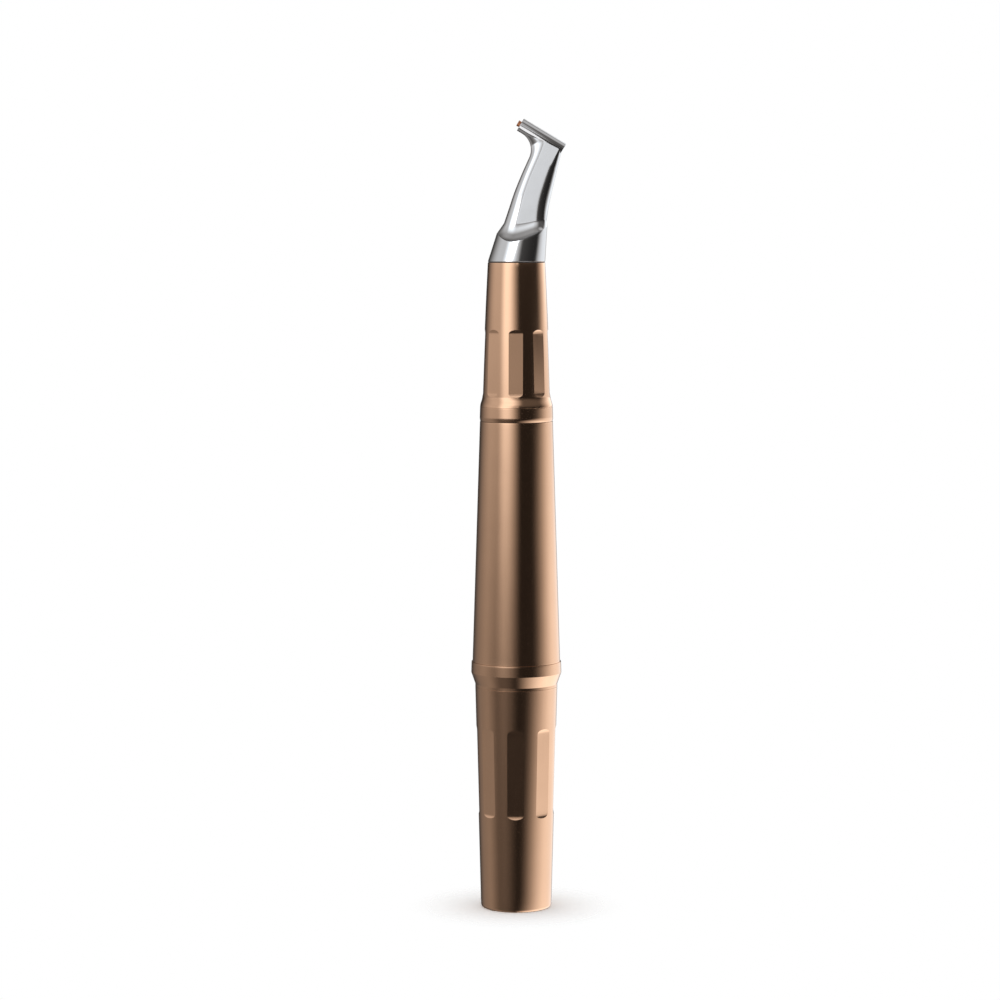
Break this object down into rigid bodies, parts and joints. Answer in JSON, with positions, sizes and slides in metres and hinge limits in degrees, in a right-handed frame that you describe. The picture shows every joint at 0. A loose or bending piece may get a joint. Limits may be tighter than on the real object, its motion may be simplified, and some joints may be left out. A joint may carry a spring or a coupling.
{
  "type": "dental air-polishing handpiece",
  "caption": "Slim tapered dental handpiece with a fluted hose coupling, a long casing, a fluted swivelling front sleeve and a bent chrome head whose cross barrel holds a small powder jet.",
  "frame": {"origin": "centre of the rear rim, on the handle's long axis, where the handpiece stands", "axes": "+Z along the handle from the rear rim to the head, -X to the side the jet points to, +Y across the flats of the neck"},
  "size_m": [0.0198, 0.019, 0.1659],
  "materials": {
    "bronze_casing": "satin bronze anodised",
    "chrome_head": "polished",
    "inner_steel": "turned",
    "copper_jet": "plain copper alloy",
    "black_rubber": "matte",
    "white_polymer": "matte"
  },
  "bodies": {
    "handle": {"handle_body": "bronze_casing", "tail_ring": "bronze_casing", "tail_block": "inner_steel", "tail_seal": "black_rubber", "powder_port_seal": "black_rubber", "water_port_seal": "black_rubber", "coupling_washer": "white_polymer", "sleeve_clip": "inner_steel", "front_bush": "white_polymer", "thrust_washer": "white_polymer", "wiper_ring": "black_rubber", "swivel_housing": "inner_steel", "powder_line": "inner_steel", "water_line": "inner_steel"},
    "nozzle": {"nozzle_head": "chrome_head", "jet_nozzle": "copper_jet", "barrel_plug": "chrome_head", "powder_tube": "inner_steel", "head_seal": "black_rubber", "front_sleeve": "bronze_casing", "collar_ring": "bronze_casing", "swivel_stem": "inner_steel", "stem_front_seal": "black_rubber", "stem_rear_seal": "black_rubber", "stem_clip": "inner_steel"},
    "coupling": {"coupling_sleeve": "bronze_casing"}
  },
  "joints": [
    {"name": "nozzle_swivel", "type": "hinge", "parent": "handle", "child": "nozzle", "pos_m": [0, 0, 0.1033], "axis": [0, 0, 1], "continuous": true},
    {"name": "coupling_turn", "type": "hinge", "parent": "handle", "child": "coupling", "pos_m": [0, 0, 0.0449], "axis": [0, 0, 1], "continuous": true}
  ]
}
